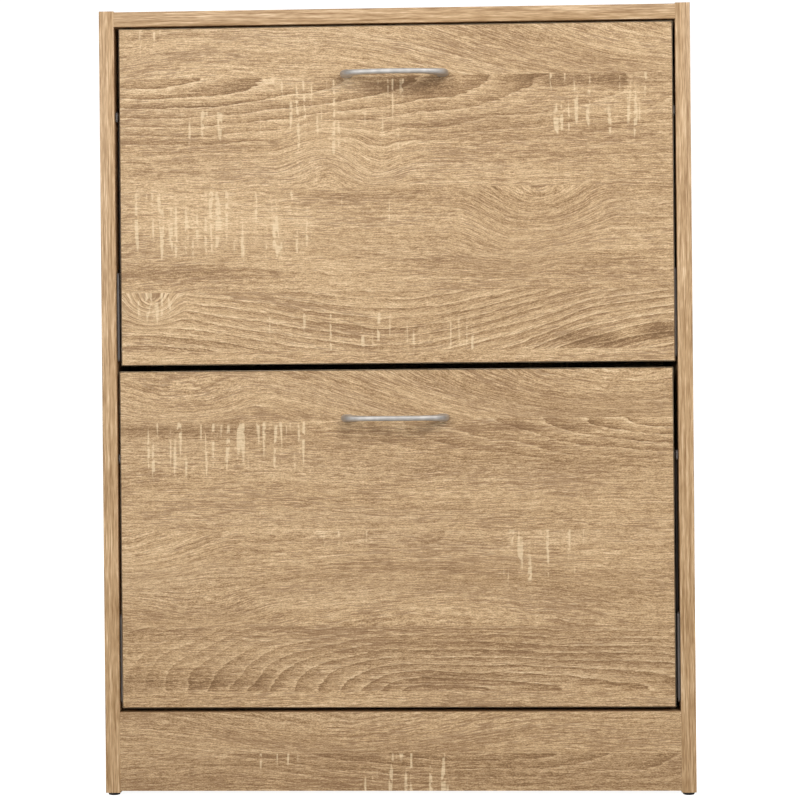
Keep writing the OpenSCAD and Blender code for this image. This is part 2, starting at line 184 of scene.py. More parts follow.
def new_material(name, **settings):
    """A material with a Principled shader, the Tree that wires it, and the shader's inputs."""
    material = bpy.data.materials.new(name)
    material.use_nodes = True
    tree = Tree(material.node_tree)
    shader = material.node_tree.nodes["Principled BSDF"]
    for key, value in settings.items():
        shader.inputs[key.replace("_", " ").title().replace("Ior", "IOR")].default_value = value
    return material, tree, shader.inputs


def linear(red, green, blue):
    """A colour given as 0 to 255 on screen, as the linear values that shaders take."""
    return tuple(((c / 255 + 0.055) / 1.055) ** 2.4 for c in (red, green, blue))


# The printed oak: planks side by side, each with its own rings, fibres, pores and saw marks.
# X runs along the grain and Y across it, in metres. Each board's mesh says how far its fibres
# are bent, how many rings lie between a place and the heart, and where the saw marks are.
sawn_oak, t, given, result = shader_group(
    "sawn_oak",
    {"Vector": None, "Bend": 0.0, "Rings": 0.0, "Ring Show": 0.0, "Tint": 0.0, "Saw": 0.0},
    ("Tone", "Grey", "Saw Marks", "Pores", "Height"),
)
place = t.add("ShaderNodeSeparateXYZ", {0: given["Vector"]}).outputs
along, depth = place[0], t.math("MULTIPLY", place[2], 3.0)
bent = t.math("ADD", place[1], given["Bend"])

# Fibres, streaks and pores, which follow the bends and waver a little.
wave = t.noise(along, 30.0, bent, 60.0, depth, 1.0)
across = t.math("MULTIPLY_ADD", wave, 0.0055, bent)
fibre = t.noise(along, 120.0, across, 1500.0, depth, 1.0, 0.6)
speck = t.noise(along, 620.0, across, 2000.0, depth, 0.0)
line = t.noise(along, 12.0, across, 900.0, depth, 1.0, 0.5)
streak = t.noise(along, 3.5, bent, 75.0, depth, 2.0, 0.55)
cloud = t.noise(along, 2.6, bent, 21.0, t.math("ADD", depth, 9.0), 2.0)
pore = t.noise(along, 60.0, across, 900.0, t.math("ADD", depth, 3.0), 1.0)
pore_share = t.noise(along, 7.0, bent, 40.0, t.math("ADD", depth, 6.0), 1.0)
pores = t.step(t.math("MULTIPLY_ADD", pore_share, 0.5, pore), 0.80, 0.90)

# Growth rings: each starts with a pale rim and darkens, with a ragged edge.
ragged = t.noise(along, 80.0, across, 320.0, depth, 2.0)
wobble = t.noise(along, 13.0, bent, 26.0, t.math("ADD", depth, 2.0), 1.0)
rings = t.math("MULTIPLY_ADD", wobble, 1.3, given["Rings"])
phase = t.math("FRACT", t.math("MULTIPLY_ADD", ragged, 0.3, rings))
dark_wood = t.math("POWER", phase, 1.8)
pale_rim = t.math("MULTIPLY", t.step(phase, 0.0, 0.04), t.step(phase, 0.20, 0.05))
ring_tone = t.math("SUBTRACT", t.math("MULTIPLY", pale_rim, 0.20), t.math("MULTIPLY", dark_wood, 0.46))
ring_tone = t.math("ADD", ring_tone, 0.11)

# Saw marks: short pale lines square to the grain, broken up by the fibres.
saw_line = t.noise(along, 270.0, place[1], 17.0, depth, 0.0)
saw_break = t.noise(along, 210.0, place[1], 150.0, depth, 0.0)
saw_level = t.math("ADD", saw_line, t.math("MULTIPLY", given["Saw"], 0.3))
woven = t.math("MULTIPLY_ADD", t.step(fibre, 0.35, 0.6), 0.5, 0.5)
woven = t.math("MULTIPLY", woven, t.step(saw_break, 0.36, 0.46))
saw_marks = t.math("MULTIPLY", t.step(saw_level, 0.86, 0.95), woven)
saw_glow = t.math("MULTIPLY", t.step(saw_level, 0.6, 0.95), given["Saw"])

# The tone is 0 at the darkest brown and 1 at the palest straw colour.
fibre_tone = t.math("SUBTRACT", t.step(fibre, 0.50, 0.70), t.step(fibre, 0.50, 0.30))
tone = t.math("MULTIPLY_ADD", fibre_tone, 0.21, 0.5)
for pattern, strength in ((speck, 0.8), (line, 0.60), (streak, 0.24), (cloud, 0.36)):
    tone = t.math("MULTIPLY_ADD", t.math("SUBTRACT", pattern, 0.5), strength, tone)
tone = t.math("MULTIPLY_ADD", ring_tone, given["Ring Show"], tone)
tone = t.math("MULTIPLY_ADD", saw_glow, 0.06, t.math("ADD", tone, given["Tint"]))
t.put(result["Tone"], t.math("ADD", tone, 0.0, clamp=True))
grey = t.noise(along, 3.4, bent, 30.0, t.math("ADD", depth, 14.0), 2.0)
t.put(result["Grey"], t.step(t.math("SUBTRACT", grey, given["Tint"]), 0.45, 0.75))
t.put(result["Saw Marks"], saw_marks)
t.put(result["Pores"], pores)
height = t.math("MULTIPLY_ADD", fibre, 0.6, t.math("MULTIPLY", saw_marks, 0.4))
t.put(result["Height"], t.math("SUBTRACT", height, t.math("MULTIPLY", pores, 0.8)))

oak_stops = [
    (0.0, linear(124, 92, 58)), (0.25, linear(161, 128, 89)), (0.5, linear(195, 162, 121)),
    (0.75, linear(219, 188, 147)), (1.0, linear(240, 214, 175)),
]
saw_colour, saw_strength = linear(234, 209, 170), 0.8
pore_colour, pore_strength = linear(136, 102, 70), 0.55
grey_cast = (0.975, 0.98, 1.0)

# Turns that bring the grain to X: upright grain, a level board, a board that faces the front.
UPRIGHT = (0, math.radians(90), 0)
FLAT = (0, 0, 0)
FACING = (math.radians(-90), 0, 0)


def oak_material(name, turn):
    """Sawn-oak melamine whose grain lies as turn says."""
    material, tree, shader = new_material(name, specular_ior_level=0.35)
    place = tree.add("ShaderNodeTexCoord").outputs["Object"]
    turned = tree.add("ShaderNodeMapping", {"Vector": place, "Rotation": turn}).outputs[0]
    oak_print = tree.add("ShaderNodeGroup", node_tree=sawn_oak)
    tree.put(oak_print.inputs["Vector"], turned)
    for key in ("Bend", "Rings", "Ring Show", "Tint", "Saw"):
        field = tree.add("ShaderNodeAttribute", attribute_name=key.lower().replace(" ", "_"))
        tree.put(oak_print.inputs[key], field.outputs["Fac"])
    made = oak_print.outputs
    colour = tree.ramp(made["Tone"], oak_stops)
    colour = tree.mix(made["Grey"], colour, grey_cast, "MULTIPLY")
    colour = tree.mix(tree.math("MULTIPLY", made["Pores"], pore_strength), colour, pore_colour)
    colour = tree.mix(tree.math("MULTIPLY", made["Saw Marks"], saw_strength), colour, saw_colour)
    tree.put(shader["Base Color"], colour)
    tree.put(shader["Roughness"], tree.math("MULTIPLY_ADD", made["Tone"], -0.12, 0.58))
    tree.put(shader["Normal"], tree.bump(made["Height"], 0.2, 0.3 * MM))
    return material


def soft_spots(x, z, rows):
    """Adds up oval spots, each given as its middle, half length, half width and strength."""
    total = np.zeros_like(x)
    for spot_x, spot_z, half_x, half_z, amount in rows:
        near = np.clip(1 - ((x - spot_x) / half_x) ** 2 - ((z - spot_z) / half_z) ** 2, 0, 1)
        total += amount * near**2
    return total


def saw_zones(x, z, rows):
    """Zones of saw marks, each from x0 to x1 and from z0 up to z1, that fade at the sides and
    below and end sharply at the seam above."""
    side_fade, low_fade, seam_slack = 14, 22, 0.01
    total = np.zeros_like(x)
    for x0, x1, z0, z1, amount in rows:
        sides = np.clip(np.minimum(x - x0, x1 - x) / side_fade + 0.5, 0, 1)
        ends = np.clip((z - z0) / low_fade + 0.5, 0, 1) * (z <= z1 + seam_slack)
        total = np.maximum(total, amount * sides * ends)
    return total


def plank_fields(x, z, plank, number):
    """The figure of one plank at each place, from its row of sizes in millimetres. The rings
    are ovals about a heart: their slope to the left and right, spacing, strength and reach."""
    plank_shift, first_ring, full_show = 137, 20, 1.25
    bend = soft_spots(x, z, plank.get("bends", ()))
    heart_x, heart_z, left, right, spacing, show, reach = plank["rings"]
    stretch = np.where(x < heart_x, left, right)
    radius = np.hypot(z + bend - heart_z, stretch * (x - heart_x))
    return {
        "bend": (bend + plank_shift * number) * MM,
        "rings": radius / spacing + first_ring,
        "ring_show": show * np.clip(full_show - radius / reach, 0, 1),
        "tint": soft_spots(x, z, plank.get("tints", ())) + plank.get("tone", 0),
        "saw": saw_zones(x, z, plank.get("saws", ())),
    }


X, Y, Z = 0, 1, 2
SHARP = math.radians(50)


def figured_board(
    name, low, high, grain, normal, planks, materials,
    raw_sides=(), taped_sides=(), first=0, cell=5 * MM,
):
    """A board whose two wide faces are fine grids that carry the figure of its planks. The
    planks run along the grain axis, are listed from the high side to the low side, and are
    numbered from first, so that no two boards share their fibres. The edges wear the first
    material too, or the second where raw, or the third where taped."""
    side = X + Y + Z - grain - normal
    length, width = high[grain] - low[grain], high[side] - low[side]
    seams = [min(p["top"] * MM, width) for p in planks] + [0.0]
    us = np.linspace(0, length, math.ceil(length / cell) + 1)
    vs = [0.0]
    for lower, upper in reversed(list(zip(seams[1:], seams))):
        vs += list(np.linspace(lower, upper, max(math.ceil((upper - lower) / cell), 1) + 1))[1:]
    nu, nv = len(us), len(vs)
    corners = []
    for end in (low, high):
        for v in vs:
            for u in us:
                corner = Vector(low)
                corner[grain], corner[side], corner[normal] = low[grain] + u, low[side] + v, end[normal]
                corners.append(corner)
    faces = [
        (k + j * nu + i, k + j * nu + i + 1, k + (j + 1) * nu + i + 1, k + (j + 1) * nu + i)
        for k in (0, nu * nv) for j in range(nv - 1) for i in range(nu - 1)
    ]
    wide, back = len(faces), nu * nv
    for row in (0, (nv - 1) * nu):
        faces += [(row + i, row + i + 1, back + row + i + 1, back + row + i) for i in range(nu - 1)]
    for i in (0, nu - 1):
        column = range(i, back - nu, nu)
        faces += [(c, c + nu, back + c + nu, back + c) for c in column]
    mesh = bpy.data.meshes.new(name)
    mesh.from_pydata(corners, [], faces)

    x = np.array([us[c % nu] for face in faces for c in face]) / MM
    z = np.array([vs[c // nu % nv] for face in faces for c in face]) / MM
    middle = np.repeat(z.reshape(-1, 4).mean(axis=1), 4)
    feet = [plank["top"] for plank in planks[1:]] + [-1]
    fields = {}
    for number, (plank, foot) in enumerate(zip(planks, feet)):
        inside = (middle <= plank["top"]) & (middle > foot)
        for key, values in plank_fields(x, z, plank, first + number).items():
            fields[key] = np.where(inside, values, fields.get(key, 0.0))
    for key, values in fields.items():
        field = mesh.attributes.new(key, "FLOAT", "CORNER")
        field.data.foreach_set("value", values.astype(np.float32))

    bm = bmesh.new()
    bm.from_mesh(mesh)
    bmesh.ops.recalc_face_normals(bm, faces=bm.faces)
    square_on = 0.9
    for face in bm.faces:
        face.smooth = True
        for number, sides in enumerate((raw_sides, taped_sides), 1):
            if face.index >= wide and any(face.normal.dot(Vector(s)) > square_on for s in sides):
                face.material_index = number
    bm.to_mesh(mesh)
    bm.free()
    mesh.set_sharp_from_angle(angle=SHARP)
    return new_piece(name, mesh, *materials)


def plain_planks(seed, length, width):
    """Planks for a board without a figure of its own, in millimetres: random hearts, bends and
    saw marks, with a bend for about every 200 mm of length."""
    rng = random.Random(seed)
    planks, top = [], width
    while top > 0:
        height = rng.uniform(80, 115)
        heart_x, heart_z = rng.uniform(0, length), top - height * rng.choice((0, 1))
        rings = (heart_x, heart_z, 0.12, 0.18, 9, rng.uniform(0.2, 0.8), 70)
        bends = []
        for _ in range(math.ceil(length / 200)):
            place = rng.uniform(0, length), top - rng.uniform(0, height)
            bends.append((*place, rng.uniform(60, 150), rng.uniform(40, 80), rng.uniform(-22, 22)))
        start = rng.uniform(0, length * 0.8)
        end, foot = start + rng.uniform(50, 150), top - rng.uniform(30, 60)
        saws = [(start, end, foot, top, rng.uniform(0.5, 0.9))]
        tone = rng.uniform(-0.05, 0.05)
        planks.append({"top": top, "rings": rings, "bends": bends, "saws": saws, "tone": tone})
        top -= height
    return planks


def raw_chipboard():
    """The cut edge of chipboard: pale flakes pressed together, with dark gaps."""
    material, tree, shader = new_material("raw_chipboard", roughness=0.85)
    place = tree.add("ShaderNodeTexCoord").outputs["Object"]
    flakes = tree.add("ShaderNodeTexVoronoi", {"Vector": place, "Scale": 420.0}).outputs
    dust = tree.cells(place, 900.0, 3.0)
    flake_tone = tree.add("ShaderNodeSeparateColor", {0: flakes["Color"]}).outputs[0]
    tone = tree.math("MULTIPLY_ADD", dust, 0.5, tree.math("MULTIPLY", flake_tone, 0.5))
    stops = [(0.1, linear(112, 84, 54)), (0.5, linear(176, 143, 100)), (0.9, linear(214, 186, 142))]
    tree.put(shader["Base Color"], tree.ramp(tone, stops))
    tree.put(shader["Normal"], tree.bump(tone, 0.5, 0.5 * MM))
    return material


# The edging tape: a straight printed grain, in lines along X of its turned place.
tape_grain, t, given, result = shader_group(
    "tape_grain", {"Vector": None, "Seed": 0.0}, ("Tone", "Height"),
)
place = t.add("ShaderNodeSeparateXYZ", {0: given["Vector"]}).outputs
drift = t.noise(place[0], 9.0, place[1], 60.0, given["Seed"], 1.0)
across = t.math("MULTIPLY_ADD", drift, 0.004, t.math("ADD", place[1], place[2]))
coarse = t.noise(place[0], 14.0, across, 420.0, given["Seed"], 2.0, 0.55)
fine = t.noise(place[0], 60.0, across, 900.0, given["Seed"], 2.0, 0.6)
tone = t.math("MULTIPLY_ADD", t.math("SUBTRACT", coarse, 0.5), 1.9, 0.5)
tone = t.math("MULTIPLY_ADD", t.math("SUBTRACT", fine, 0.5), 1.6, tone)
t.put(result["Tone"], t.math("ADD", tone, 0.0, clamp=True))
t.put(result["Height"], fine)

tape_stops = [
    (0.0, linear(149, 113, 73)), (0.3, linear(173, 138, 97)), (0.55, linear(192, 157, 116)),
    (0.8, linear(211, 177, 136)), (1.0, linear(229, 199, 160)),
]


def tape_material(name, turn, seed_value, stops=tape_stops):
    """Printed edging tape whose grain lies as turn says."""
    material, tree, shader = new_material(name, roughness=0.45, specular_ior_level=0.4)
    place = tree.add("ShaderNodeTexCoord").outputs["Object"]
    turned = tree.add("ShaderNodeMapping", {"Vector": place, "Rotation": turn}).outputs[0]
    print_node = tree.add("ShaderNodeGroup", node_tree=tape_grain)
    tree.put(print_node.inputs["Vector"], turned)
    print_node.inputs["Seed"].default_value = seed_value
    tree.put(shader["Base Color"], tree.ramp(print_node.outputs["Tone"], stops))
    tree.put(shader["Roughness"], tree.math("MULTIPLY_ADD", print_node.outputs["Tone"], -0.1, 0.5))
    tree.put(shader["Normal"], tree.bump(print_node.outputs["Height"], 0.15, 0.2 * MM))
    return material


chipboard = raw_chipboard()
oak_upright = oak_material("oak_upright", UPRIGHT)
tape_deep = tape_material("tape_deep", (0, 0, math.radians(90)), 5.0)
for seed, side in enumerate(("left", "right")):
    low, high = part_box(side + "_side_panel")
    planks = plain_planks(seed, (high.z - low.z) / MM, (high.y - low.y) / MM)
    panel = figured_board(
        side + "_side_board", low, high, Z, X, planks, (oak_upright, chipboard, tape_deep),
        raw_sides=((0, 1, 0), (0, 0, -1)), taped_sides=((0, 0, 1),), first=3 * seed, cell=8 * MM,
    )
    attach(panel, "carcass")
    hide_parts(side + "_side_panel")


# ---------------------------------------------------------------------------
# Edging: thin tape with a printed straight grain, ironed on to the front edges of the side
# panels and the top panel. Its outer arrises are scraped round.
strip_arris = 0.25 * MM


def rounded_box(bm, low, high, radius, segments):
    """Adds a box with softened edges to bm."""
    made = bmesh.ops.create_cube(bm, size=1)
    size, middle = high - low, (low + high) / 2
    for v in made["verts"]:
        v.co = Vector(v.co[i] * size[i] + middle[i] for i in range(3))
    edges = list({e for v in made["verts"] for e in v.link_edges})
    bmesh.ops.bevel(bm, geom=edges, offset=radius, segments=segments, profile=0.5, affect="EDGES")


def smooth_mesh(name, bm, sharp):
    """A mesh of bm, smooth but for the edges that turn by more than sharp. It frees bm."""
    for face in bm.faces:
        face.smooth = True
    mesh = bpy.data.meshes.new(name)
    bm.to_mesh(mesh)
    bm.free()
    mesh.set_sharp_from_angle(angle=sharp)
    return mesh


tape_upright = tape_material("tape_upright", UPRIGHT, 1.0)
tape_level = tape_material("tape_level", FACING, 3.0)
tape_of_node = {
    "left_side_edging": tape_upright, "right_side_edging": tape_upright, "top_edging": tape_level,
}
for node, tape in tape_of_node.items():
    low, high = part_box(node)
    bm = bmesh.new()
    rounded_box(bm, low, high, strip_arris, 2)
    strip = new_piece(node + "_tape", smooth_mesh(node + "_tape", bm, SHARP), tape)
    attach(strip, "carcass")
    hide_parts(node)


# ---------------------------------------------------------------------------
# Level boards of the carcass: top, bottom, plinth and rear rail, cut from the same
# melamine-faced chipboard and held between the side panels by dowels and cams.
oak_flat = oak_material("oak_flat", FLAT)
oak_facing = oak_material("oak_facing", FACING)
plinth_planks = [
    {
        "top": 80, "rings": (250, 200, 0.1, 0.1, 8, 0.2, 300), "bends": [(230, 60, 220, 60, 22)],
        "tone": -0.05,
    },
    {
        "top": 38, "rings": (360, 40, 0.10, 0.12, 8, 0.6, 45), "bends": [(120, 10, 160, 50, -8)],
        "saws": [(250, 350, -20, 38, 0.95), (85, 195, 18, 38, 0.5)], "tone": -0.14,
    },
]
level_boards = (
    ("top_panel", oak_flat, Z, ((0, 1, 0),), (), None),
    ("bottom_panel", oak_flat, Z, ((0, 1, 0), (0, -1, 0)), (), None),
    ("plinth_board", oak_facing, Y, ((0, 0, -1),), ((0, 0, 1),), plinth_planks),
    ("rear_rail", oak_facing, Y, ((0, 0, -1), (0, 0, 1)), (), None),
)
for seed, (node, oak, normal, raw_sides, taped_sides, planks) in enumerate(level_boards):
    low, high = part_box(node)
    width = (high - low)[Z + Y - normal] / MM
    planks = planks or plain_planks(10 + seed, (high.x - low.x) / MM, width)
    board = figured_board(
        node + "_board", low, high, X, normal, planks, (oak, chipboard, tape_level),
        raw_sides=raw_sides, taped_sides=taped_sides, first=10 + 3 * seed, cell=6 * MM,
    )
    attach(board, "carcass")
    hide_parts(node)


# ---------------------------------------------------------------------------
# Back panels: two sheets of brown hardboard, one above the other, laid over the rear edges
# of the carcass boards and nailed on.

def hardboard_material():
    """Hardboard: brown pressed fibre with a slight sheen and pale and dark specks."""
    material, tree, shader = new_material("hardboard", roughness=0.6)
    place = tree.add("ShaderNodeTexCoord").outputs["Object"]
    felt = tree.cells(place, 700.0, 4.0)
    cloud = tree.cells(place, 14.0, 3.0)
    tone = tree.math("MULTIPLY_ADD", felt, 0.7, tree.math("MULTIPLY", cloud, 0.35))
    stops = [(0.3, linear(92, 64, 40)), (0.52, linear(128, 93, 62)), (0.75, linear(158, 122, 86))]
    tree.put(shader["Base Color"], tree.ramp(tone, stops))
    tree.put(shader["Roughness"], tree.math("MULTIPLY_ADD", felt, 0.25, 0.48))
    tree.put(shader["Normal"], tree.bump(felt, 0.3, 0.25 * MM))
    return material


def wear_cad(node, material, soften=0.0):
    """Gives a CAD node's own object this material, and softens its edges by that width."""
    shown = frame["nodes"][node]
    shown.data.materials.clear()
    shown.data.materials.append(material)
    if soften:
        bevel = shown.modifiers.new("soft_edges", "BEVEL")
        bevel.width = soften
        bevel.segments = 2
        bevel.limit_method = "ANGLE"
        bevel.angle_limit = math.radians(40)


hardboard = hardboard_material()
for node in ("upper_back_panel", "lower_back_panel"):
    wear_cad(node, hardboard, 0.2 * MM)


# ---------------------------------------------------------------------------
# Fasteners of the carcass: nails round the back, fluted beech dowels, zinc cam bolts and
# cams, and the plastic caps over the cams.
metal_sharp = math.radians(40)


def metal_material(name, colour, roughness, scratch_scale):
    """Plated metal with fine rubbing marks and slight stains."""
    material, tree, shader = new_material(name, metallic=1.0)
    place = tree.add("ShaderNodeTexCoord").outputs["Object"]
    rubbed = tree.add("ShaderNodeMapping", {"Vector": place, "Scale": (0.06, 1, 1)}).outputs[0]
    marks = tree.cells(rubbed, scratch_scale, 3.0)
    stain = tree.cells(place, 90.0, 3.0)
    dull = tuple(0.78 * c for c in colour)
    tree.put(shader["Base Color"], tree.mix(tree.step(stain, 0.35, 0.7), dull, colour))
    wear = tree.math("MULTIPLY_ADD", marks, 0.22, roughness - 0.11)
    tree.put(shader["Roughness"], tree.math("MULTIPLY_ADD", stain, 0.08, wear))
    tree.put(shader["Normal"], tree.bump(marks, 0.12, 0.05 * MM))
    return material


def plastic_material(name, colour, roughness):
    """Moulded plastic with a fine spark-eroded grain and slight handling marks."""
    material, tree, shader = new_material(name, specular_ior_level=0.45)
    place = tree.add("ShaderNodeTexCoord").outputs["Object"]
    grain = tree.cells(place, 1600.0, 2.0)
    rub = tree.cells(place, 35.0, 4.0)
    lifted = tuple(min(1.0, 1.25 * c + 0.004) for c in colour)
    tree.put(shader["Base Color"], tree.mix(tree.step(rub, 0.4, 0.75), colour, lifted))
    tree.put(shader["Roughness"], tree.math("MULTIPLY_ADD", rub, 0.2, roughness - 0.1))
    tree.put(shader["Normal"], tree.bump(grain, 0.35, 0.12 * MM))
    return material


def beech_material():
    """Beech: pale pinkish wood with short darker flecks along the grain."""
    material, tree, shader = new_material("beech", roughness=0.6)
    place = tree.add("ShaderNodeTexCoord").outputs["Object"]
    long_grain = tree.add("ShaderNodeMapping", {"Vector": place, "Scale": (0.08, 1, 1)}).outputs[0]
    fleck = tree.cells(long_grain, 1500.0, 2.0)
    stops = [(0.3, linear(176, 134, 96)), (0.7, linear(220, 186, 146))]
    tree.put(shader["Base Color"], tree.ramp(fleck, stops))
    tree.put(shader["Normal"], tree.bump(fleck, 0.3, 0.1 * MM))
    return material


def solids_of(node):
    """The box of every separate solid in a CAD node, as (low, high) pairs in the CAD frame."""
    source = frame["nodes"][node]
    bm = bmesh.new()
    bm.from_mesh(source.data)
    bm.transform(source.matrix_world)
    bmesh.ops.remove_doubles(bm, verts=bm.verts, dist=1e-6)
    boxes, seen = [], set()
    for start in bm.verts:
        if start in seen:
            continue
        seen.add(start)
        island, queue = [], [start]
        while queue:
            v = queue.pop()
            island.append(v.co.copy())
            for edge in v.link_edges:
                other = edge.other_vert(v)
                if other not in seen:
                    seen.add(other)
                    queue.append(other)
        boxes.append(tuple(Vector(f(c[i] for c in island) for i in range(3)) for f in (min, max)))
    bm.free()
    return boxes


def turned_shape(name, profile, segments=24, cross=0.0):
    """A shape turned about Z from (radius, height) pairs that start and end on the axis. A
    cross above 0 sinks a cross recess of that depth into the middle of the top."""
    bm = bmesh.new()
    rings, reach = [], max(r for r, _ in profile)
    top = max(z for _, z in profile)
    for r, z in profile:
        if r == 0:
            sink = cross if z == top else 0.0
            rings.append([bm.verts.new((0, 0, z - sink))])
            continue
        ring = []
        for k in range(segments):
            turn = 2 * math.pi * k / segments
            in_arm = k % (segments // 4) in (0, 1, segments // 4 - 1)
            near_middle = z > top - 0.2 * reach and r < 0.5 * reach
            sink = cross * 0.85 if near_middle and in_arm else 0.0
            ring.append(bm.verts.new((r * math.cos(turn), r * math.sin(turn), z - sink)))
        rings.append(ring)
    for a, b in zip(rings, rings[1:]):
        for k in range(segments):
            n = (k + 1) % segments
            loop = [a[k % len(a)], a[n % len(a)], b[n % len(b)], b[k % len(b)]]
            bm.faces.new(list(dict.fromkeys(loop)))
    bmesh.ops.recalc_face_normals(bm, faces=bm.faces)
    return bpy.data.objects.new(name, smooth_mesh(name, bm, metal_sharp))


def copies_group():
    """Geometry nodes that set a copy of a shape on every point, each spun by chance about the
    shape's own axis, and join them to one mesh."""
    group = bpy.data.node_groups.new("set_copies", "GeometryNodeTree")
    for key, kind in (
        ("Places", "NodeSocketGeometry"), ("Shape", "NodeSocketObject"), ("Axis", "NodeSocketRotation"),
        ("Spin", "NodeSocketFloat"), ("Seed", "NodeSocketInt"), ("Material", "NodeSocketMaterial"),
    ):
        group.interface.new_socket(key, in_out="INPUT", socket_type=kind)
    group.interface.new_socket("Copies", in_out="OUTPUT", socket_type="NodeSocketGeometry")
    nodes = group.nodes
    given, result = nodes.new("NodeGroupInput"), nodes.new("NodeGroupOutput")
    points, shape = nodes.new("GeometryNodeMeshToPoints"), nodes.new("GeometryNodeObjectInfo")
    chance, turn = nodes.new("FunctionNodeRandomValue"), nodes.new("FunctionNodeAxisAngleToRotation")
    aim, copies = nodes.new("FunctionNodeRotateRotation"), nodes.new("GeometryNodeInstanceOnPoints")
    join, paint = nodes.new("GeometryNodeRealizeInstances"), nodes.new("GeometryNodeSetMaterial")
    aim.rotation_space = "LOCAL"
    turn.inputs["Axis"].default_value = (0, 0, 1)
    random_maximum, random_result = 3, 1
    for source, output, target, socket in (
        (given, "Places", points, "Mesh"), (given, "Shape", shape, "Object"),
        (given, "Spin", chance, random_maximum), (given, "Seed", chance, "Seed"),
        (chance, random_result, turn, "Angle"), (given, "Axis", aim, "Rotation"),
        (turn, "Rotation", aim, "Rotate By"), (aim, "Rotation", copies, "Rotation"),
        (points, "Points", copies, "Points"), (shape, "Geometry", copies, "Instance"),
        (copies, "Instances", join, "Geometry"), (join, "Geometry", paint, "Geometry"),
        (given, "Material", paint, "Material"), (paint, "Geometry", result, "Copies"),
    ):
        group.links.new(source.outputs[output], target.inputs[socket])
    return group


set_copies = copies_group()
body_of_node = {}
for body, nodes in frame["record"]["behaviour"]["bodies"].items():
    body_of_node.update(dict.fromkeys(nodes, body))


def copies_piece(name, node, shape, facing, material, spin=2 * math.pi, seed=1, inside=0.0):
    """One mesh that holds a copy of shape for every solid of a CAD node. The shape's top lies on
    the side of the solid that facing points to, or that much inside it."""
    facing = Vector(facing)
    places = []
    for low, high in solids_of(node):
        place = (low + high) / 2
        for i in range(3):
            if facing[i]:
                place[i] = (high[i] if facing[i] > 0 else low[i]) - facing[i] * inside
        places.append(place)
    mesh = bpy.data.meshes.new(name + "_places")
    mesh.from_pydata(places, [], [])
    carrier = new_piece(name + "_places", mesh)
    modifier = carrier.modifiers.new("copies", "NODES")
    modifier.node_group = set_copies
    values = {
        "Shape": shape, "Axis": facing.to_track_quat("Z", "X").to_euler(), "Spin": spin,
        "Seed": seed, "Material": material,
    }
    for item in set_copies.interface.items_tree:
        if item.in_out == "INPUT" and item.name in values:
            modifier[item.identifier] = values[item.name]
    ready = carrier.evaluated_get(bpy.context.evaluated_depsgraph_get())
    made = bpy.data.meshes.new_from_object(ready)
    bpy.data.objects.remove(carrier)
    made.name = name
    made.set_sharp_from_angle(angle=metal_sharp)
    piece = new_piece(name, made)
    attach(piece, body_of_node[node])
    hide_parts(node)
    return piece


zinc = metal_material("zinc_plate", linear(196, 199, 202), 0.34, 2600.0)
beech = beech_material()
cap_plastic = plastic_material("cap_plastic", linear(196, 164, 124), 0.5)
for node, material in (("wooden_dowels", beech), ("cam_bolts", zinc), ("cam_locks", zinc)):
    wear_cad(node, material)

nail = turned_shape("nail", [
    (0, 0), (1.2 * MM, -0.05 * MM), (1.8 * MM, -0.18 * MM), (2.0 * MM, -0.4 * MM),
    (1.9 * MM, -0.7 * MM), (0.9 * MM, -0.85 * MM), (0.7 * MM, -1.2 * MM), (0.7 * MM, -16 * MM),
    (0, -18 * MM),
])
nails = copies_piece("back_nails", "back_panel_nails", nail, (0, 1, 0), zinc, seed=4)
wear_cad("cam_caps", cap_plastic, 0.2 * MM)


# ---------------------------------------------------------------------------
# Feet: round black glides with a rounded rim and a sunk middle, each held under a side
# panel by its own nail.
black_plastic = plastic_material("black_plastic", linear(38, 36, 36), 0.45)
glide = turned_shape("glide", [
    (0, -1.3 * MM), (2.5 * MM, -1.3 * MM), (2.6 * MM, -0.3 * MM), (3.2 * MM, 0), (4.6 * MM, 0),
    (5.5 * MM, -0.3 * MM), (5.95 * MM, -1.1 * MM), (6.0 * MM, -2.9 * MM), (0, -2.9 * MM),
], segments=48)
glides = copies_piece("round_glides", "floor_glides", glide, (0, 0, -1), black_plastic, seed=7)
wear_cad("glide_nails", zinc)


# ---------------------------------------------------------------------------
# Wall fixing: two angle brackets of zinc-plated steel under the top panel, at the back, each
# with two pan-head screws with a cross recess, driven up into the panel.

def screw_shape(name, node, facing, pitch=1.2 * MM):
    """A cross-head screw as large as one solid of a CAD node; facing points out of its head."""
    low, high = solids_of(node)[0]
    axis = max(range(3), key=lambda i: abs(facing[i]))
    length = (high - low)[axis]
    head = (high - low)[(axis + 1) % 3] / 2
    thick, shank = 0.5 * head, 0.48 * head
    root = 0.72 * shank
    profile = [(0, 0)] + [(share * head, 0) for share in (0.12, 0.25, 0.38, 0.48, 0.6)]
    profile += [(0.85 * head, -0.12 * thick), (head, -0.45 * thick), (head, -0.95 * thick)]
    profile.append((root, -thick))
    z = -thick - pitch
    while z > -length + 3 * pitch:
        profile += [(root, z), (shank, z - 0.4 * pitch), (root, z - 0.7 * pitch)]
        z -= pitch
    profile += [(root, z), (0, -length)]
    return turned_shape(name, profile, segments=48, cross=0.7 * thick)


def screws_piece(name, node, facing, seed):
    """Screws in place of every solid of a CAD node."""
    screw = screw_shape(name + "_shape", node, facing)
    screws = copies_piece(name, node, screw, facing, zinc, seed=seed)


wear_cad("wall_brackets", zinc, 0.4 * MM)
screws_piece("wall_fixing_screws", "wall_bracket_screws", (0, 0, -1), 11)


# ---------------------------------------------------------------------------
# Pivots: a plastic bush let into the side panel for each pin, and a steel peg that stops
# the flap at both ends of its travel.
for tier in ("upper", "lower"):
    for side in ("left", "right"):
        wear_cad(f"{tier}_{side}_pivot_bush", black_plastic, 0.2 * MM)
        wear_cad(f"{tier}_{side}_stop_peg", zinc, 0.4 * MM)


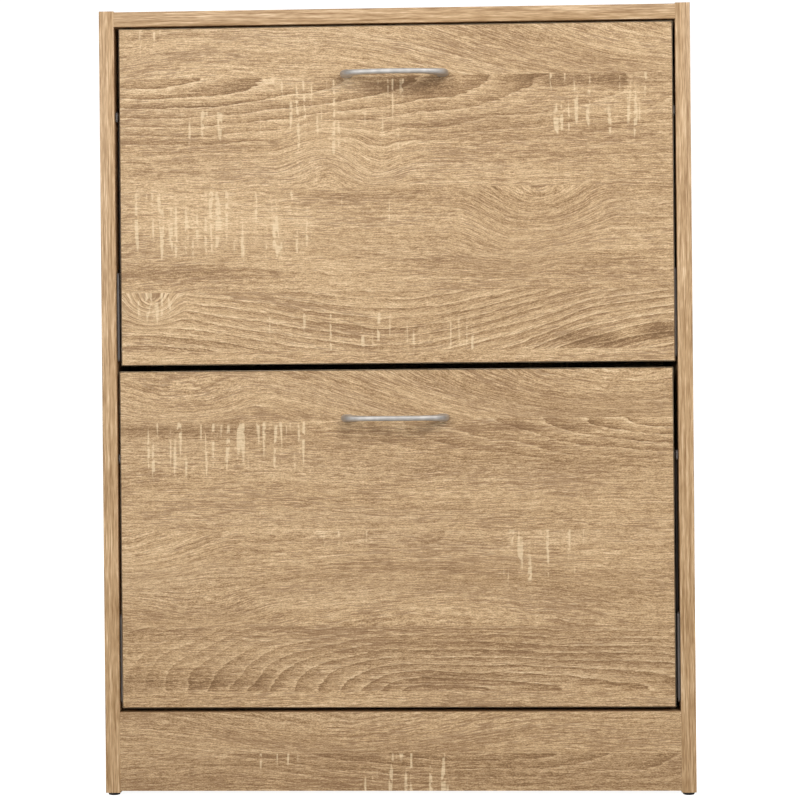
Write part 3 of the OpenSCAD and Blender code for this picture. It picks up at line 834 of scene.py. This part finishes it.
# ---------------------------------------------------------------------------
# Doors: melamine-faced boards with the grain level, and tape round all four edges with a
# rounded arris. The arris wears a paler tape, a painted highlight for its thin pale line in the light.
tape_radius = 0.45 * MM
upper_planks = [
    {
        "top": 343, "rings": (280, 520, 0.03, 0.03, 9, 0.25, 400),
        "bends": [(640, 320, 450, 140, 90), (90, 310, 110, 50, -8)],
        "saws": [(14, 42, 322, 343, 0.9)],
    },
    {
        "top": 291, "rings": (-10, 292, 0.13, 0.13, 9.5, 1.0, 90),
        "bends": [(212, 212, 60, 52, -13), (258, 198, 50, 44, 9)],
        "tints": [
            (300, 281, 80, 17, -0.5), (455, 285, 130, 13, -0.36), (100, 281, 80, 9, -0.24),
            (60, 262, 160, 7, -0.12),
        ],
        "saws": [(55, 125, 222, 259, 0.9), (145, 300, 205, 288, 0.72), (438, 548, 232, 291, 0.85)],
    },
    {
        "top": 178, "rings": (423, 260, 0.2, 0.2, 10, 0.25, 200),
        "bends": [(423, 152, 85, 62, 27), (385, 112, 60, 40, 9), (120, 100, 160, 40, -6)],
        "tints": [(120, 150, 150, 40, 0.07), (400, 165, 90, 12, -0.08), (60, 92, 120, 12, -0.10)],
        "saws": [(8, 198, 108, 176, 1.0), (225, 300, 140, 172, 0.5)],
    },
    {
        "top": 73, "rings": (280, -90, 0.02, 0.02, 9.5, 0.75, 300),
        "bends": [(-20, 45, 300, 160, -34), (600, 40, 320, 160, -62), (30, 60, 38, 30, 26)],
        "tints": [(475, 22, 60, 12, -0.4), (548, 30, 40, 14, -0.4), (110, 22, 110, 12, -0.12)],
        "saws": [(18, 55, 42, 73, 1.0), (140, 385, 10, 50, 0.72)],
    },
    {"top": 13, "rings": (280, 200, 0.03, 0.03, 9, 0.1, 400), "tone": 0.07},
]
lower_planks = [
    {
        "top": 343, "rings": (280, 520, 0.03, 0.03, 9, 0.2, 400),
        "bends": [(520, 320, 400, 120, 95), (60, 305, 90, 40, 14)], "tone": -0.01,
    },
    {
        "top": 292, "rings": (625, 294, 0.16, 0.16, 7.5, 0.95, 62),
        "bends": [(0, 262, 330, 40, -6), (300, 215, 160, 40, 5)],
        "tints": [
            (70, 281, 200, 13, -0.28), (395, 284, 60, 9, -0.30), (470, 284, 50, 9, -0.24),
            (250, 230, 120, 30, -0.06),
        ],
        "saws": [(26, 190, 236, 291, 0.95)],
    },
    {
        "top": 179, "rings": (10, 178, 0.35, 0.10, 8, 0.4, 60),
        "bends": [(-10, 165, 130, 60, 26), (330, 108, 260, 60, -16), (80, 100, 90, 30, 10)],
        "tints": [(90, 96, 130, 14, -0.10), (250, 168, 120, 10, -0.06)],
        "saws": [(378, 478, 122, 179, 0.8), (150, 300, 150, 179, 0.35)],
    },
    {
        "top": 82, "rings": (309, 14, 0.33, 0.11, 7.2, 0.72, 120), "tone": -0.09,
        "tints": [
            (20, 28, 60, 14, -0.20), (85, 26, 45, 14, -0.22), (140, 24, 30, 12, -0.14),
            (330, 26, 90, 14, -0.14),
        ],
    },
    {"top": 16, "rings": (280, 200, 0.03, 0.03, 9, 0.1, 400), "tone": -0.02},
]
door_planks = {"upper": upper_planks, "lower": lower_planks}
first_plank = {"upper": 30, "lower": 40}

# Paler tape for the rounded arrises of the door tape: a painted highlight, the thin pale line that each
# edge shows in the light.
arris_highlight_stops = [
    (0.0, linear(196, 170, 132)), (0.5, linear(218, 195, 160)), (1.0, linear(236, 218, 190)),
]
tape_arris_highlight = tape_material("tape_arris_highlight", FACING, 7.0, arris_highlight_stops)


def edging_ring(name, low, high, inner_low, inner_high, materials):
    """Tape round a door: a frame whose outer arrises are rounded, to the front and to the
    back. Its materials are for the level runs, the upright runs and the rounded arrises, whose paler
    tape is a painted highlight."""
    bm = bmesh.new()
    rounded_box(bm, low, high, tape_radius, 3)
    for face in [f for f in bm.faces if abs(f.normal.y) > 0.9]:
        bm.faces.remove(face)
    for y in (low.y, high.y):
        rim = [e for e in bm.edges if e.is_boundary]
        outer = [e for e in rim if all(abs(v.co.y - y) < 1e-6 for v in e.verts)]
        made = bmesh.ops.extrude_edge_only(bm, edges=outer)
        inner = [v for v in made["geom"] if isinstance(v, bmesh.types.BMVert)]
        for v in inner:
            v.co.x = inner_high.x if v.co.x > (low.x + high.x) / 2 else inner_low.x
            v.co.z = inner_high.z if v.co.z > (low.z + high.z) / 2 else inner_low.z
    bmesh.ops.remove_doubles(bm, verts=bm.verts, dist=1e-6)
    open_edges = [e for e in bm.edges if e.is_boundary]
    bmesh.ops.bridge_loops(bm, edges=open_edges)
    bmesh.ops.recalc_face_normals(bm, faces=bm.faces)
    level, upright, highlit_arris = range(3)
    for face in bm.faces:
        toward_x, toward_y = abs(face.normal.x), abs(face.normal.y)
        run = upright if toward_x > 0.7 else level
        # The arris faces, half turned to the front or the back, get the paler tape of the painted
        # highlight.
        face.material_index = highlit_arris if toward_y > 0.2 else run
    return new_piece(name, smooth_mesh(name, bm, SHARP), *materials)


door_tapes = (tape_level, tape_upright, tape_arris_highlight)
for tier in ("upper", "lower"):
    low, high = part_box(tier + "_door")
    door = figured_board(
        tier + "_door_board", low, high, X, Y, door_planks[tier], (oak_facing,),
        first=first_plank[tier], cell=4 * MM,
    )
    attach(door, tier + "_flap")
    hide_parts(tier + "_door")
    ring_low, ring_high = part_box(tier + "_door_edging")
    ring = edging_ring(tier + "_door_tape", ring_low, ring_high, low, high, door_tapes)
    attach(ring, tier + "_flap")
    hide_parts(tier + "_door_edging")


# ---------------------------------------------------------------------------
# Handles: bow handles of die-cast zinc with a satin nickel finish. The bar is slimmest in
# the middle and swells into a square foot at each end, screwed on from inside the door.
nickel = metal_material("satin_nickel", linear(214, 210, 205), 0.56, 2200.0)
bow_power = 2.5
section_power = 0.75
foot_taper = 5
bar_thickness = 5 * MM
bar_height = 5.2 * MM
foot_length = 13 * MM
bow_rings = 120
section_points = 28


def bow_point(angle, half, reach):
    """A point on half a superellipse: how far along the bar, and how far out from the door."""
    c, s = math.cos(angle), math.sin(angle)
    return math.copysign(abs(c) ** (2 / bow_power), c) * half, max(s, 0.0) ** (2 / bow_power) * reach


def handle_mesh(name, low, high):
    """Sweeps a rounded section from foot to foot between an outer and an inner bow."""
    middle = (low + high) / 2
    half, reach, foot_height = (high.x - low.x) / 2, high.y - low.y, high.z - low.z
    bm = bmesh.new()
    rings = []
    for i in range(bow_rings + 1):
        angle = math.pi * i / bow_rings
        outer = Vector(bow_point(angle, half, reach))
        inner = Vector(bow_point(angle, half - foot_length, reach - bar_thickness))
        tall = bar_height + (foot_height - bar_height) * abs(math.cos(angle)) ** foot_taper
        ring = []
        for k in range(section_points):
            turn = 2 * math.pi * k / section_points
            c, s = math.cos(turn), math.sin(turn)
            share = 0.5 + 0.5 * math.copysign(abs(c) ** section_power, c)
            rise = 0.5 * tall * math.copysign(abs(s) ** section_power, s)
            x, out = inner.lerp(outer, share)
            ring.append(bm.verts.new((middle.x + x, high.y - out, middle.z + rise)))
        rings.append(ring)
    for a, b in zip(rings, rings[1:]):
        for k in range(section_points):
            n = (k + 1) % section_points
            bm.faces.new((a[k], a[n], b[n], b[k]))
    bm.faces.new(rings[0])
    bm.faces.new(rings[-1])
    bmesh.ops.recalc_face_normals(bm, faces=bm.faces)
    return smooth_mesh(name, bm, metal_sharp)


for tier in ("upper", "lower"):
    name = tier + "_bow_handle"
    handle = new_piece(name, handle_mesh(name, *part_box(tier + "_handle")), nickel)
    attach(handle, tier + "_flap")
    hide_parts(tier + "_handle")
    screws_piece(tier + "_handle_bolts", tier + "_handle_screws", (0, 1, 0), 20)


# ---------------------------------------------------------------------------
# Racks: on each flap two moulded brackets of dark grey plastic, screwed to the inside of the
# door, carry the four thin hardboard boards of its shoe pockets.
rack_plastic = plastic_material("rack_plastic", linear(112, 109, 108), 0.5)
for tier in ("upper", "lower"):
    for side in ("left", "right"):
        wear_cad(f"{tier}_{side}_rack_bracket", rack_plastic, 0.25 * MM)
    screws_piece(tier + "_rack_screws", tier + "_bracket_screws", (0, 1, 0), 30)
    for board in ("front_shelf", "divider", "rear_shelf", "rear_board"):
        wear_cad(f"{tier}_{board}", hardboard, 0.3 * MM)


# ---------------------------------------------------------------------------
# Stage: a plain pale floor and a pale surround, both brighter to the camera than the light
# that they give, and four soft lights.
floor_mesh = bpy.data.meshes.new("floor")
half = 12.0
corners = [(-half, -half, 0), (half, -half, 0), (half, half, 0), (-half, half, 0)]
floor_mesh.from_pydata(corners, [], [(0, 1, 2, 3)])
floor_material, tree, shader = new_material("pale_floor", roughness=0.9)
shader["Base Color"].default_value = (0.55, 0.55, 0.55, 1)
shader["Emission Color"].default_value = (1, 1, 1, 1)
seen = tree.add("ShaderNodeLightPath").outputs["Is Camera Ray"]
tree.put(shader["Emission Strength"], tree.math("MULTIPLY", seen, 0.95))
floor = new_piece("floor", floor_mesh, floor_material)

world = bpy.data.worlds.new("studio")
world.use_nodes = True
bpy.context.scene.world = world
sky = Tree(world.node_tree)
background = world.node_tree.nodes["Background"]
background.inputs["Color"].default_value = (1, 1, 1, 1)
seen = sky.add("ShaderNodeLightPath").outputs["Is Camera Ray"]
sky.put(background.inputs["Strength"], sky.math("MULTIPLY_ADD", seen, 0.9, 0.22))
bpy.context.scene.view_settings.view_transform = "Standard"


def soft_light(name, place, aim, size, power):
    """A square area light at place that points at aim."""
    data = bpy.data.lights.new(name, "AREA")
    data.size = size
    data.energy = power
    lamp = bpy.data.objects.new(name, data)
    lamp.location = place
    lamp.rotation_euler = (Vector(aim) - Vector(place)).to_track_quat("-Z", "Y").to_euler()
    bpy.context.scene.collection.objects.link(lamp)


cabinet_middle = (0, 0, cad_high.z * 0.6)
soft_light("key", (1.5, -2.5, 2.3), cabinet_middle, 1.6, 56)
soft_light("fill", (-1.4, -2.9, 1.6), cabinet_middle, 1.8, 53)
soft_light("overhead", (0, 0.2, 3.2), cabinet_middle, 2.0, 18)
soft_light("rear", (0.7, 2.6, 1.7), cabinet_middle, 1.8, 26)
